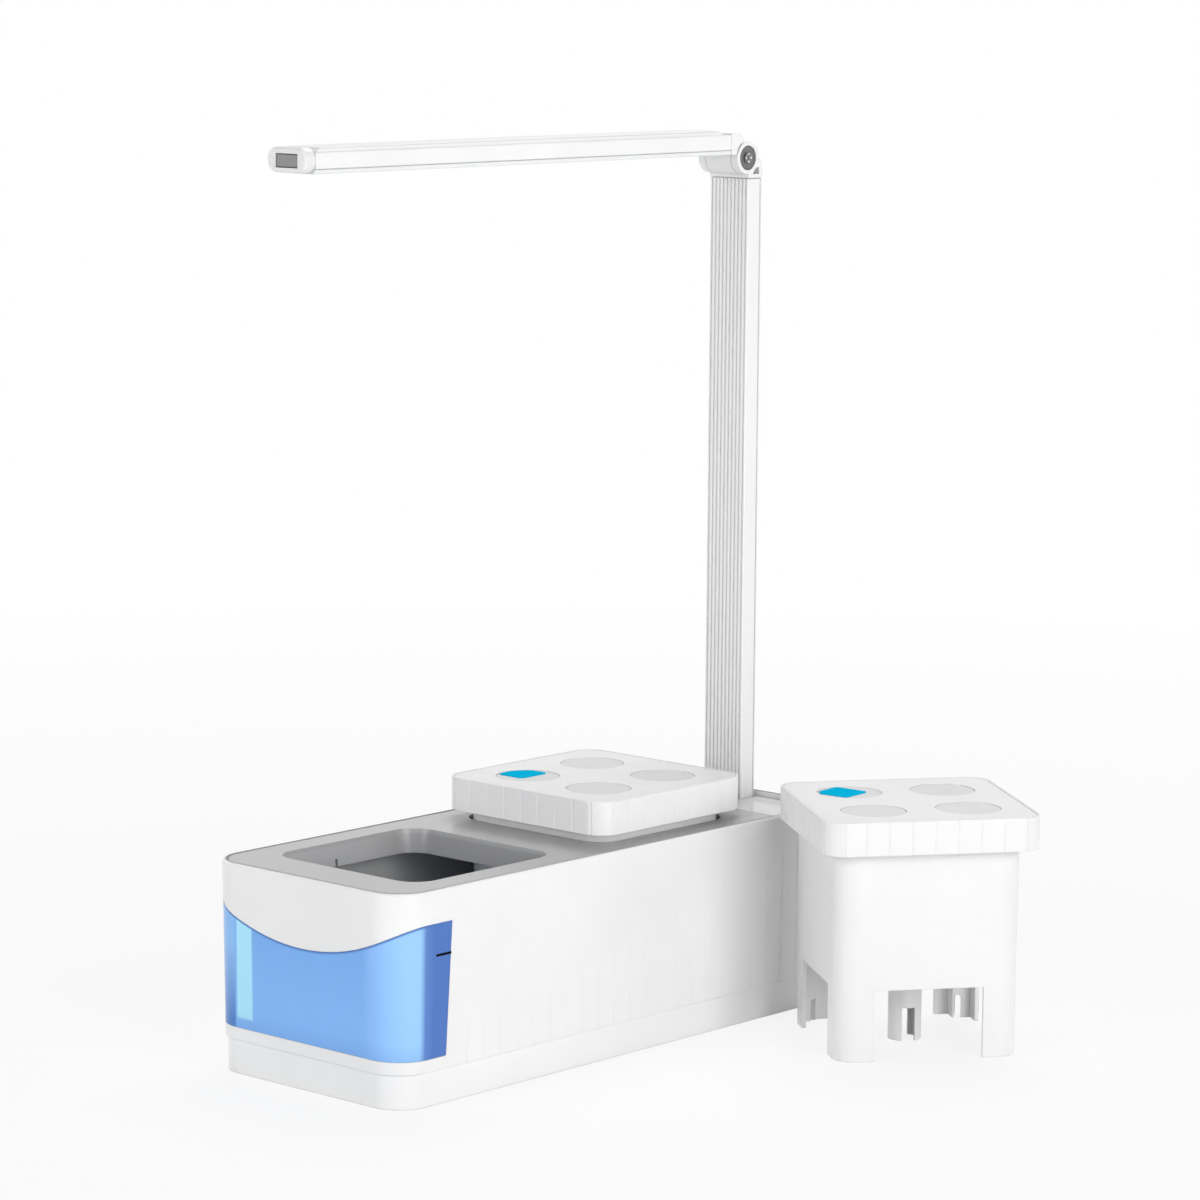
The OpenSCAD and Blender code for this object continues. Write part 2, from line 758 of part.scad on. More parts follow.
// Bracket on the post's top: plate, two ears, rear wall and a tongue down into the post
module post_saddle() {
    plate_w = barrel_l;
    wall_y = post_y + post_d/2;
    step_h = 0.5;
    step_in = 0.9;
    color("white")
        difference() {
            union() {
                // plate on a low step, so that a shadow gap runs round the post's top
                translate([-plate_w/2, post_y - post_d/2, post_top_z + step_h])
                    cube([plate_w, post_d, saddle_t - step_h]);
                translate([-post_w/2 + step_in, post_y - post_d/2 + step_in, post_top_z])
                    cube([post_w - 2*step_in, post_d - 2*step_in, saddle_t/2]);
                // rear wall behind the barrel
                along_x(-plate_w/2, plate_w/2)
                    polygon([[wall_y - 3.2, post_top_z + step_h], [wall_y - 0.7, post_top_z + step_h],
                        [wall_y - 0.7, axis_z - 4.4], [wall_y - 1.9, axis_z - 2],
                        [wall_y - 3.3, axis_z - 0.8], [wall_y - 3.3, axis_z - 5.5]]);
                for (x = [-barrel_l/2, ear_in]) {
                    bar_x(barrel_r, x, x + ear_t, axis_y, axis_z);
                    along_x(x, x + ear_t)
                        polygon([[axis_y + 0.8, post_top_z + step_h], [axis_y + 4.2, post_top_z + step_h],
                            [axis_y + 5.2, axis_z - 6.5], [axis_y, axis_z - 2],
                            [axis_y + 0.8, axis_z - 8]]);
                    // short arm that ties the ear to the rear wall
                    along_x(x, x + ear_t)
                        polygon([[axis_y + 4.4, axis_z - 5], [axis_y + 5, axis_z + 0.5],
                            [wall_y - 1.9, axis_z - 2], [wall_y - 3.2, axis_z - 5.7]]);
                }
                translate([-tongue_w/2, post_y - tongue_d/2 + 0.2, post_top_z - tongue_l])
                    cube([tongue_w, tongue_d, tongue_l + over]);
            }
            bar_x(pin_r + running, -barrel_l, barrel_l, axis_y, axis_z);
            for (x = [-barrel_l/2 - over, barrel_l/2 - cap_depth])
                bar_x(cap_r + fit, x, x + cap_depth + over, axis_y, axis_z);
            translate([0, post_y, post_top_z - tongue_l - over])
                cylinder(r = lead_r + 0.6, h = tongue_l + saddle_t + 2*over);
            for (x = [-1, 1]) translate([x*saddle_screw_x, post_y, post_top_z - tongue_l/2])
                rotate([90, 0, 0]) cylinder(r = saddle_screw_r, h = post_d, center = true);
        }
}
tongue_l = 16;
tongue_w = post_w - 2*post_wall - 2*fit;
tongue_d = post_d - 2*post_wall - 0.4 - 2*fit;
cap_depth = 1.6;
saddle_screw_x = 8;

// Screws through the post's back into the saddle's tongue
module saddle_screws() {
    color("gray")
        for (x = [-1, 1]) translate([x*saddle_screw_x, post_y + post_d/2, post_top_z - tongue_l/2])
            rotate([-90, 0, 0]) screw(saddle_screw_r, 2.4, 8, 1.2);
}

module hinge_pin() {
    color("silver") bar_x(pin_r, -pin_half, pin_half, axis_y, axis_z);
}
pin_half = barrel_l/2 - cap_depth;

module friction_washers() {
    color("gainsboro")
        for (x = [-ear_in, ear_in - washer_t])
            difference() {
                bar_x(barrel_r - 0.2, x, x + washer_t, axis_y, axis_z);
                bar_x(pin_r + running, x - over, x + washer_t + over, axis_y, axis_z);
            }
}

module hinge_caps() {
    color([0.25, 0.25, 0.27])
        for (s = [-1, 1])
            difference() {
                bar_x(cap_r, min(s*pin_half, s*(pin_half + 1.1)), max(s*pin_half, s*(pin_half + 1.1)),
                    axis_y, axis_z);
                bar_x(1.5, -barrel_l, barrel_l, axis_y, axis_z);
            }
}

module hinge_screws() {
    color("silver")
        for (s = [-1, 1]) translate([s*(pin_half + 1.1), axis_y, axis_z])
            rotate([0, s*90, 0]) screw(1.5, 3.1, 1.1, 1.1);
}

// ---------- lamp arm ----------

// End block of the arm with the middle knuckle of the hinge
module arm_knuckle() {
    crown = arm_top + 0.6;
    nose = 3.2;
    color("white")
        difference() {
            union() {
                difference() {
                    along_x(-arm_w/2, arm_w/2)
                        polygon([[block_y, arm_z], [block_y, crown], [axis_y - 6.5, crown],
                            [axis_y - nose, axis_z + barrel_r + 1], [axis_y - nose, arm_z]]);
                    for (s = [-1, 1])
                        bar_x(barrel_r + ear_gap, s > 0 ? knuckle_half : -arm_w,
                            s > 0 ? arm_w : -knuckle_half, axis_y, axis_z);
                }
                bar_x(barrel_r, -knuckle_half, knuckle_half, axis_y, axis_z);
                translate([-tongue_half, block_y - knuckle_tongue, knuckle_tongue_z])
                    cube([2*tongue_half, knuckle_tongue + over, board_top - fit - knuckle_tongue_z]);
            }
            bar_x(pin_r + running, -arm_w, arm_w, axis_y, axis_z);
            for (x = [-1, 1])
                translate([x*knuckle_screw_x, block_y - knuckle_tongue/2, housing_z - over])
                    cylinder(r = knuckle_screw_r, h = arm_h);
        }
}
knuckle_tongue = 12;
knuckle_tongue_z = housing_z + 0.4;
knuckle_screw_r = 1.1;
knuckle_screw_l = arm_top - 0.6 - knuckle_tongue_z;

module knuckle_screws() {
    color("gray")
        for (x = [-1, 1])
            translate([x*knuckle_screw_x, block_y - knuckle_tongue/2, knuckle_tongue_z])
                rotate([180, 0, 0]) screw(knuckle_screw_r, 2.4, knuckle_screw_l, 1.1);
}

// Aluminium channel, open at its underside
module arm_housing() {
    color("white")
        difference() {
            along_y(housing_y0, housing_y1)
                difference() {
                    translate([0, (housing_z + arm_top)/2])
                        rounded(arm_w, arm_top - housing_z, 0.8);
                    translate([-arm_w/2 + arm_wall, housing_z - over])
                        square([arm_w - 2*arm_wall, board_top - housing_z + over]);
                }
            for (x = [-1, 1])
                translate([x*knuckle_screw_x, block_y - knuckle_tongue/2, board_top - over])
                    cylinder(r = knuckle_screw_r, h = arm_top - 0.5 - board_top + over);
        }
}

module arm_top_strip() {
    end_y = housing_y1 - 6;
    run_out = 3;
    edge = 0.4;
    color("white")
        along_x(-strip_w/2, strip_w/2)
            polygon([[housing_y0 + 6, arm_top], [housing_y0 + 6, arm_top + strip_h - edge],
                [housing_y0 + 6 + edge, arm_top + strip_h], [end_y - run_out, arm_top + strip_h],
                [end_y, arm_top + edge], [end_y, arm_top]]);
}

board_y0 = housing_y0 + cap_tongue + 2;
board_y1 = housing_y1 - knuckle_tongue - 4;

module led_board() {
    w = arm_w - 2*arm_wall - 2*fit;
    color("white")
        translate([-w/2, board_y0, board_top - board_t]) cube([w, board_y1 - board_y0, board_t]);
}

module leds() {
    pitch = (board_y1 - board_y0)/led_n;
    led_w = 2.8;
    led_l = 3.5;
    color("lightyellow")
        for (i = [0:led_n - 1], x = [-1, 1])
            translate([x*led_line/2 - led_w/2, board_y0 + (i + 0.5)*pitch - led_l/2,
                    board_top - board_t - led_h])
                cube([led_w, led_l, led_h]);
}

// Milky cover that closes the channel from below
module diffuser() {
    in = arm_w/2 - arm_wall - fit;
    rib_top = board_top - board_t - fit;
    color([0.95, 0.96, 0.97])
        along_y(housing_y0, housing_y1)
            difference() {
                union() {
                    translate([0, arm_z + diffuser_h/2])
                        rounded(arm_w, diffuser_h, 0.9);
                    for (s = [-1, 1])
                        translate([s*(in - rib_t/2) - rib_t/2, arm_z + 1])
                            square([rib_t, rib_top - arm_z - 1]);
                }
                translate([-in + rib_t, arm_z + 1.4]) square([2*(in - rib_t), arm_h]);
            }
}

module arm_end_cap() {
    tongue_z = housing_z + 0.2;
    color("white")
        difference() {
            union() {
                along_y(tip_y, cap_y)
                    translate([0, cap_z + cap_h/2]) rounded(arm_w, cap_h, cap_face_r);
                translate([-tongue_half, cap_y - over, tongue_z])
                    cube([2*tongue_half, cap_tongue + over, board_top - fit - tongue_z]);
            }
            translate([-button_w/2 - button_gap, tip_y - over, button_z - button_h/2 - button_gap])
                cube([button_w + 2*button_gap, button_pocket + over, button_h + 2*button_gap]);
            translate([-switch_w/2, tip_y, button_z - switch_h/2])
                cube([switch_w, cap_l + cap_tongue + over, switch_h]);
        }
}
switch_w = 7;
switch_h = 4.4;
button_pocket = button_drop + button_t + button_travel + 0.2;

// Small switch behind the button
module switch_module() {
    color("black")
        translate([-switch_w/2, tip_y + button_drop + button_t + stem_l + button_travel + fit,
                button_z - switch_h/2])
            cube([switch_w, 4, switch_h]);
}
stem_l = 3;

module switch_button() {
    stem_w = 5;
    stem_h = 3.2;
    color([0.45, 0.46, 0.48]) {
        translate([-button_w/2, tip_y + button_drop, button_z - button_h/2])
            cube([button_w, button_t, button_h]);
        translate([-stem_w/2, tip_y + button_drop + button_t - over, button_z - stem_h/2])
            cube([stem_w, stem_l + over, stem_h]);
    }
}

// ---------- planters, drawn standing on z = 0 ----------

// Pot with four corner legs and a slotted intake tube that opens into its floor
module pot_part() {
    inner = pot_w - 2*pot_wall;
    low_w = pot_w - 2*pot_draft;
    low_r = pot_r - pot_draft;
    floor_top = leg_h + pot_floor_t;
    gap_w = low_w - 2*leg_w;
    gap_side_w = low_w - 2*leg_side_w;
    // thick corners of the two keyed legs: side, depth, width, a point of the slot and its turn
    keys = [[1, 9.5, 10.4, [11.85, 10.05], 160], [-1, 5, 9.5, [7.4, 11.9], 235]];
    color("white")
        difference() {
            union() {
                difference() {
                    hull() {
                        section(low_w, low_w, low_r, 0);
                        section(pot_w, pot_w, pot_r, panel_z - skin);
                    }
                    // room above the floor
                    hull() {
                        section(inner - 2*pot_draft, inner - 2*pot_draft,
                            pot_r - pot_wall - pot_draft, floor_top);
                        section(inner, inner, pot_r - pot_wall, panel_z + over);
                    }
                    // room between the legs, with two thick corners
                    difference() {
                        block(low_w - 2*pot_wall, low_w - 2*pot_wall, low_r - pot_wall, -over, leg_h);
                        for (k = keys)
                            translate([-low_w/2, k[0] > 0 ? low_w/2 - pot_wall - k[2] :
                                    -low_w/2 + pot_wall, -2*over])
                                cube([pot_wall + k[1], k[2], leg_h + 2*over]);
                    }
                    translate([-gap_w/2, -pot_w, -over]) cube([gap_w, 2*pot_w, leg_h + over]);
                    translate([-pot_w, -gap_side_w/2, -over])
                        cube([2*pot_w, gap_side_w, leg_h + over]);
                    for (k = keys)
                        translate([-low_w/2 + k[3][0], k[0]*(low_w/2 - k[3][1]), -over])
                            rotate([0, 0, k[4]]) key_slot();
                }
                cylinder(d = tube_d, h = leg_h + over);
            }
            translate([0, 0, -over]) cylinder(d = tube_d - 2*tube_wall, h = floor_top + 2*over);
            translate([-tube_d, -tube_slot_w/2, -over])
                cube([2*tube_d, tube_slot_w, tube_slot_h + over]);
        }
}
tube_wall = 2;

// Arched slot that runs out through the corner of a leg, along +X
module key_slot() {
    side_h = key_slot_h - key_slot_w/2;
    back = 6;
    length = 28;
    translate([-back, -key_slot_w/2, 0]) cube([length, key_slot_w, side_h + over]);
    bar_x(key_slot_w/2, -back, length - back, 0, side_h + over);
}

// Depth of the lid's outline below its middle, at a given distance sideways
function lid_edge(x) = lid_w/2 - lid_r + sqrt(pow(lid_r, 2) - pow(max(0, abs(x) - lid_w/2 + lid_r), 2));

// Grooved skirt of the lid, with the ledge that the top panel rests on
module lid_ring_part() {
    n = floor((lid_w/2 - 0.7*lid_r)/lid_groove_pitch);
    ledge = 1.5;
    color("white")
        difference() {
            translate([0, 0, skirt_z]) linear_extrude(lid_h)
                difference() {
                    rounded(lid_w, lid_w, lid_r);
                    for (turn = [0, 90, 180, 270], i = [-n:n]) rotate([0, 0, turn])
                        translate([i*lid_groove_pitch, -lid_edge(i*lid_groove_pitch)])
                            polygon([[-lid_groove_w/2, -1], [lid_groove_w/2, -1], [lid_groove_w/2, 0],
                                [-lid_groove_w/4, lid_groove_d], [-lid_groove_w/2, 0]]);
                }
            block(lid_w - 2*lid_lip, lid_w - 2*lid_lip, lid_r - lid_lip, panel_z, planter_h + over);
            block(lid_w - 2*lid_wall - 2*ledge, lid_w - 2*lid_wall - 2*ledge,
                lid_r - lid_wall - ledge, panel_z - 2, planter_h + over);
            block(lid_w - 2*lid_wall, lid_w - 2*lid_wall, lid_r - lid_wall, skirt_z - over,
                panel_z - 1.6);
        }
}

module lid_panel_part() {
    w = lid_w - 2*lid_lip - 0.3;
    rib_out = pot_w - 2*pot_wall - 0.8;
    color("white")
        difference() {
            union() {
                block(w, w, lid_r - lid_lip - 0.15, panel_z, planter_h - 0.15);
                difference() {
                    block(rib_out, rib_out, pot_r - pot_wall - 0.4, panel_z - 5, panel_z + over);
                    block(rib_out - 3.2, rib_out - 3.2, pot_r - pot_wall - 2, panel_z - 6,
                        panel_z + over);
                }
            }
            for (p = hole_points()) translate([p[0], p[1], 0]) {
                translate([0, 0, planter_h - plug_drop - plug_top_t]) cylinder(d = hole_d, h = 4);
                translate([0, 0, panel_z - over]) cylinder(d = hole_d - 2*hole_ledge, h = 6);
            }
        }
}
function hole_points() = [for (x = [-1, 1], y = [-1, 1]) [x*hole_pitch/2, y*hole_pitch/2]];

// Round plug with a short skirt, hole 0 to 3
module plug_part(i) {
    top = planter_h - plug_drop;
    color([0.87, 0.88, 0.88])
        translate(concat(hole_points()[i], [0])) difference() {
            union() {
                translate([0, 0, top - plug_top_t]) cylinder(d = hole_d - 2*plug_gap, h = plug_top_t);
                translate([0, 0, top - plug_skirt_h])
                    cylinder(d = hole_d - 2*hole_ledge - 2*plug_gap, h = plug_skirt_h - plug_top_t/2);
            }
            translate([0, 0, top - plug_skirt_h - over])
                cylinder(d = hole_d - 2*hole_ledge - 2*plug_gap - 3.2, h = plug_skirt_h);
            if (i == 0) translate([0, 0, top - tab_t/2]) cylinder(d = hole_d - 2.4, h = 2);
        }
}

// Thin blue tab lying in the recess of the first plug; "at" gives its middle and its turn
module blue_tab_part(at) {
    top = planter_h - plug_drop;
    color([0.05, 0.62, 0.85])
        translate([hole_points()[0][0], hole_points()[0][1], top - tab_t/2])
            intersection() {
                cylinder(d = hole_d - 2.8, h = tab_t);
                translate([at[0], at[1], 0]) rotate([0, 0, at[2]])
                    block(tab_w, tab_w, tab_r, -over, tab_t + over);
            }
}

module at_rear() {
    translate(seat_rear) children();
}

module at_side() {
    translate(seat_side) rotate([0, 0, stand_turn]) children();
}

module rear_pot() { at_rear() pot_part(); }
module rear_lid_ring() { at_rear() lid_ring_part(); }
module rear_lid_panel() { at_rear() lid_panel_part(); }
module rear_plug_1() { at_rear() plug_part(1); }
module rear_plug_2() { at_rear() plug_part(2); }
module rear_plug_3() { at_rear() plug_part(3); }
module rear_blue_plug() { at_rear() plug_part(0); }
module rear_blue_tab() { at_rear() blue_tab_part(rear_tab); }
module side_pot() { at_side() pot_part(); }
module side_lid_ring() { at_side() lid_ring_part(); }
module side_lid_panel() { at_side() lid_panel_part(); }
module side_plug_1() { at_side() plug_part(1); }
module side_plug_2() { at_side() plug_part(2); }
module side_plug_3() { at_side() plug_part(3); }
module side_blue_plug() { at_side() plug_part(0); }
module side_blue_tab() { at_side() blue_tab_part(side_tab); }

base_pan();
rubber_feet();
tank_shell();
water_window();
level_mark();
deck_plate();
bay_wall();
lamp_cover();
post_bracket();
bracket_screws();
driver_board();
driver_parts();
board_screws();
dc_inlet();
post();
post_lead();
post_saddle();
saddle_screws();
hinge_pin();
friction_washers();
hinge_caps();
hinge_screws();
arm_knuckle();
knuckle_screws();
arm_housing();
arm_top_strip();
led_board();
leds();
diffuser();
arm_end_cap();
switch_module();
switch_button();
rear_pot();
rear_lid_ring();
rear_lid_panel();
rear_plug_1();
rear_plug_2();
rear_plug_3();
rear_blue_plug();
rear_blue_tab();
side_pot();
side_lid_ring();
side_lid_panel();
side_plug_1();
side_plug_2();
side_plug_3();
side_blue_plug();
side_blue_tab();
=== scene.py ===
import bpy
import bmesh
import json
import math
from mathutils import Matrix, Vector


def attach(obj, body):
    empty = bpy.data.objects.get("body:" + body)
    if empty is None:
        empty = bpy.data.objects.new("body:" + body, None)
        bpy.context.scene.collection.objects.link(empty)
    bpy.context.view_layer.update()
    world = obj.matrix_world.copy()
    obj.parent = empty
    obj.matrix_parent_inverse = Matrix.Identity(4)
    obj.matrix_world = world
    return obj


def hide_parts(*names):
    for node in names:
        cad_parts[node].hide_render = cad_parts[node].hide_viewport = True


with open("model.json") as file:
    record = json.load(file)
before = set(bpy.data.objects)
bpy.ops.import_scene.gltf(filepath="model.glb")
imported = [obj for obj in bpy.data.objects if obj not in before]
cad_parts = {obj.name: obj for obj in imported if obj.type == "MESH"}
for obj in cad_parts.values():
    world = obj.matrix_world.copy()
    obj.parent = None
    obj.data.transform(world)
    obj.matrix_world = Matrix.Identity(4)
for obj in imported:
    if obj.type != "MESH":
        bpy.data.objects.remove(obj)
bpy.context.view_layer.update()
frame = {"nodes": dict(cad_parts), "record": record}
nodes = frame["nodes"]
record = frame["record"]
bodyOfNode = {n: body for body, members in record["behaviour"]["bodies"].items() for n in members}
slotOfNode = {part["node"]: part["material_slot"] for part in record["subparts"]}
scene = bpy.context.scene
scene.view_settings.view_transform = "Standard"


def boxOf(cadName):
    points = [v.co for v in nodes[cadName].data.vertices]
    low = Vector([min(p[i] for p in points) for i in range(3)])
    high = Vector([max(p[i] for p in points) for i in range(3)])
    return low, high


print("frame loaded:", len(nodes), "nodes")


# camera
cameraSettings = {
    "place": (1.63773, -1.75634, 0.6),
    "right": (0.74084162, 0.67163849, 0.00744475),
    "up": (-0.10455918, 0.10436974, 0.98902696),
    "back": (0.66349157, -0.73349076, 0.14754742),
    "lens": 133.609,
    "sensor": 36.0,
    "shift": (-0.00035, 0.0004),
    "near": 0.05,
    "far": 400.0,
}


def makeCamera(s):
    data = bpy.data.cameras.new("camera")
    data.lens = s["lens"]
    data.sensor_width = s["sensor"]
    data.shift_x, data.shift_y = s["shift"]
    data.clip_start = s["near"]
    data.clip_end = s["far"]
    cam = bpy.data.objects.new("camera", data)
    scene.collection.objects.link(cam)
    turn = Matrix((s["right"], s["up"], s["back"])).transposed()
    cam.matrix_world = Matrix.Translation(s["place"]) @ turn.to_4x4()
    scene.camera = cam


makeCamera(cameraSettings)
print("camera placed")


# shader node helpers: a value is either a socket or a constant
def feed(tree, value, socket):
    if hasattr(value, "node"):
        tree.links.new(value, socket)
    else:
        socket.default_value = value


def objectPoint(tree, stretch=(1.0, 1.0, 1.0)):
    coords = tree.nodes.new("ShaderNodeTexCoord")
    mapping = tree.nodes.new("ShaderNodeMapping")
    mapping.inputs["Scale"].default_value = stretch
    tree.links.new(coords.outputs["Object"], mapping.inputs["Vector"])
    return mapping.outputs[0]


def parts(tree, point):
    split = tree.nodes.new("ShaderNodeSeparateXYZ")
    tree.links.new(point, split.inputs[0])
    return split.outputs


def noise(tree, point, scale, detail=3.0, rough=0.5):
    tex = tree.nodes.new("ShaderNodeTexNoise")
    tex.inputs["Detail"].default_value = detail
    tex.inputs["Roughness"].default_value = rough
    tree.links.new(point, tex.inputs["Vector"])
    feed(tree, scale, tex.inputs["Scale"])
    return tex.outputs["Fac"]


def calc(tree, kind, a, b, clamp=False):
    step = tree.nodes.new("ShaderNodeMath")
    step.operation = kind
    step.use_clamp = clamp
    feed(tree, a, step.inputs[0])
    feed(tree, b, step.inputs[1])
    return step.outputs[0]


def vector(tree, kind, a, b=None):
    step = tree.nodes.new("ShaderNodeVectorMath")
    step.operation = kind
    tree.links.new(a, step.inputs[0])
    if b is not None:
        feed(tree, b, step.inputs[1])
    return step.outputs["Value" if kind in ("LENGTH", "DOT_PRODUCT") else "Vector"]


def spread(tree, value, low, high, toLow=0.0, toHigh=1.0):
    ranged = tree.nodes.new("ShaderNodeMapRange")
    ranged.clamp = True
    tree.links.new(value, ranged.inputs["Value"])
    for label, limit in (("From Min", low), ("From Max", high), ("To Min", toLow), ("To Max", toHigh)):
        ranged.inputs[label].default_value = limit
    return ranged.outputs[0]


def blend(tree, factor, a, b):
    mix = tree.nodes.new("ShaderNodeMix")
    mix.data_type = "RGBA"
    tree.links.new(factor, mix.inputs[0])
    for i, value in ((6, a), (7, b)):
        feed(tree, value if hasattr(value, "node") else (*value, 1.0), mix.inputs[i])
    return mix.outputs[2]


def mixShaders(tree, factor, first, second, out):
    mix = tree.nodes.new("ShaderNodeMixShader")
    for i, socket in enumerate((factor, first.outputs[0], second.outputs[0])):
        tree.links.new(socket, mix.inputs[i])
    tree.links.new(mix.outputs[0], out.inputs["Surface"])


def addBump(tree, shader, height, strength, distance, normal=None):
    bump = tree.nodes.new("ShaderNodeBump")
    bump.inputs["Strength"].default_value = strength
    bump.inputs["Distance"].default_value = distance
    tree.links.new(height, bump.inputs["Height"])
    if normal is not None:
        tree.links.new(normal, bump.inputs["Normal"])
    tree.links.new(bump.outputs[0], shader.inputs["Normal"])


# studio: world, soft round lamps and a white floor
studioSettings = {
    "skyColour": (1.0, 1.0, 1.0),
    "skyStrength": 0.15,
    "aim": (0.05, 0.0, 0.15),
    "lampSize": 1.6,
    "lamps": {
        "frontLamp": {"place": (-0.3, -2.4, 0.9), "watts": 25.5},
        "sideLamp": {"place": (2.3, -0.55, 0.75), "watts": 33.0},
        "sideRearLamp": {"place": (1.9, 1.6, 0.8), "watts": 10.0},
        "topLamp": {"place": (0.0, 0.0, 2.4), "watts": 3.0},
        "rearLamp": {"place": (-0.5, 1.0, 2.1), "watts": 23.0},
        "leftLamp": {"place": (-2.3, -0.3, 0.8), "watts": 8.0},
    },
    "floorSize": 160.0,
    "floorColour": (0.9, 0.9, 0.9),
    "floorGlow": 0.82,
    "floorFade": (0.5, 1.6),
}


def makeLamp(name, s, size, aim):
    data = bpy.data.lights.new(name, "AREA")
    data.shape = "DISK"
    data.size = size
    data.energy = s["watts"]
    lamp = bpy.data.objects.new(name, data)
    scene.collection.objects.link(lamp)
    towards = Vector(aim) - Vector(s["place"])
    turn = towards.to_track_quat("-Z", "Y").to_matrix().to_4x4()
    lamp.matrix_world = Matrix.Translation(s["place"]) @ turn


# one where a camera, glossy or transmission ray arrives, else nothing
def seenRay(tree):
    path = tree.nodes.new("ShaderNodeLightPath")
    seen = path.outputs["Is Camera Ray"]
    for kind in ("Is Glossy Ray", "Is Transmission Ray"):
        seen = calc(tree, "MAXIMUM", seen, path.outputs[kind])
    return seen


def makeWorld(s):
    world = bpy.data.worlds.new("studio")
    scene.world = world
    world.use_nodes = True
    tree = world.node_tree
    tree.nodes.clear()
    out = tree.nodes.new("ShaderNodeOutputWorld")
    sky = tree.nodes.new("ShaderNodeBackground")
    sky.inputs["Color"].default_value = (*s["skyColour"], 1.0)
    sky.inputs["Strength"].default_value = s["skyStrength"]
    white = tree.nodes.new("ShaderNodeBackground")
    white.inputs["Color"].default_value = (1.0, 1.0, 1.0, 1.0)
    white.inputs["Strength"].default_value = 1.0
    mixShaders(tree, seenRay(tree), sky, white, out)


def makeFloor(s):
    bm = bmesh.new()
    bmesh.ops.create_grid(bm, x_segments=1, y_segments=1, size=s["floorSize"]/2)
    mesh = bpy.data.meshes.new("floor")
    bm.to_mesh(mesh)
    bm.free()
    floor = bpy.data.objects.new("floor", mesh)
    scene.collection.objects.link(floor)
    mat = bpy.data.materials.new("floorWhite")
    mat.use_nodes = True
    tree = mat.node_tree
    tree.nodes.clear()
    out = tree.nodes.new("ShaderNodeOutputMaterial")
    lit = tree.nodes.new("ShaderNodeBsdfDiffuse")
    lit.inputs["Color"].default_value = (*s["floorColour"], 1.0)
    glow = tree.nodes.new("ShaderNodeEmission")
    glow.inputs["Color"].default_value = (1.0, 1.0, 1.0, 1.0)
    glow.inputs["Strength"].default_value = 1.0
    away = vector(tree, "LENGTH", objectPoint(tree))
    fade = spread(tree, away, *s["floorFade"], s["floorGlow"], 1.0)
    mixShaders(tree, calc(tree, "MULTIPLY", seenRay(tree), fade), lit, glow, out)
    mesh.materials.append(mat)


makeWorld(studioSettings)
makeFloor(studioSettings)
for lampName, lampSettings in studioSettings["lamps"].items():
    makeLamp(lampName, lampSettings, studioSettings["lampSize"], studioSettings["aim"])
print("studio made")


# shared effects, each a node group; a noise is given as scale, detail and roughness, and a range
# as where it starts and ends, then the values reached there if they aren't 0 and 1
def newGroup(name, inputs, outputs):
    group = bpy.data.node_groups.new(name, "ShaderNodeTree")
    for label, value in inputs.items():
        socket = group.interface.new_socket(name=label, in_out="INPUT", socket_type="NodeSocketFloat")
        socket.default_value = value
    for label, kind in outputs.items():
        group.interface.new_socket(name=label, in_out="OUTPUT", socket_type=kind)
    return group, group.nodes.new("NodeGroupInput"), group.nodes.new("NodeGroupOutput")


# fine mould texture and a slow change of tone, whose scales each finish gives
grainSettings = {"scale": 2500.0, "drift": 12.0, "fine": (2.0, 0.6), "slow": (4.0, 0.55)}


def makeGrain(s):
    group, given, out = newGroup("mouldGrain", {"Scale": s["scale"], "Drift": s["drift"]},
                                 {"Height": "NodeSocketFloat", "Tone": "NodeSocketFloat"})
    point = objectPoint(group)
    group.links.new(noise(group, point, given.outputs["Scale"], *s["fine"]), out.inputs["Height"])
    group.links.new(noise(group, point, given.outputs["Drift"], *s["slow"]), out.inputs["Tone"])
    return group


# two masks multiplied, times the group's amount
def scaledMask(group, given, out, a, b):
    mask = calc(group, "MULTIPLY", calc(group, "MULTIPLY", a, b), given.outputs["Amount"], True)
    group.links.new(mask, out.inputs["Mask"])


# mask along edges, for worn edges and, on the deck, a painted highlight, and the normal that softens them
edgeSettings = {"radius": 0.0006, "amount": 0.5, "samples": 4, "turned": (0.995, 0.86),
                "patchScale": 160.0, "patch": (0.35, 0.7, 0.25, 1.0)}


def makeEdgeWearAndHighlight(s):
    group, given, out = newGroup("edgeWearAndHighlight", {"Radius": s["radius"], "Amount": s["amount"]},
                                 {"Mask": "NodeSocketFloat", "Normal": "NodeSocketVector"})
    soft = group.nodes.new("ShaderNodeBevel")
    soft.samples = s["samples"]
    group.links.new(given.outputs["Radius"], soft.inputs["Radius"])
    geometry = group.nodes.new("ShaderNodeNewGeometry")
    bend = vector(group, "DOT_PRODUCT", soft.outputs[0], geometry.outputs["Normal"])
    patches = spread(group, noise(group, objectPoint(group), s["patchScale"]), *s["patch"])
    scaledMask(group, given, out, spread(group, bend, *s["turned"]), patches)
    group.links.new(soft.outputs[0], out.inputs["Normal"])
    return group


# mask of settled dust on faces that look up
dustSettings = {"amount": 0.2, "up": (0.6, 1.0), "specks": (55.0, 8.0, 0.7),
                "speck": (0.42, 0.75, 0.1, 1.0)}


def makeDust(s):
    group, given, out = newGroup("dustVeil", {"Amount": s["amount"]}, {"Mask": "NodeSocketFloat"})
    geometry = group.nodes.new("ShaderNodeNewGeometry")
    up = spread(group, parts(group, geometry.outputs["Normal"])["Z"], *s["up"])
    specks = spread(group, noise(group, objectPoint(group), *s["specks"]), *s["speck"])
    scaledMask(group, given, out, up, specks)
    return group


# mask of fine random scratches
scuffSettings = {"amount": 0.3, "stretches": ((900.0, 30.0, 600.0), (40.0, 800.0, 700.0)),
                 "lines": (1.0, 2.0, 0.4), "line": (0.66, 0.74),
                 "patches": (9.0, 2.0), "patch": (0.45, 0.7)}


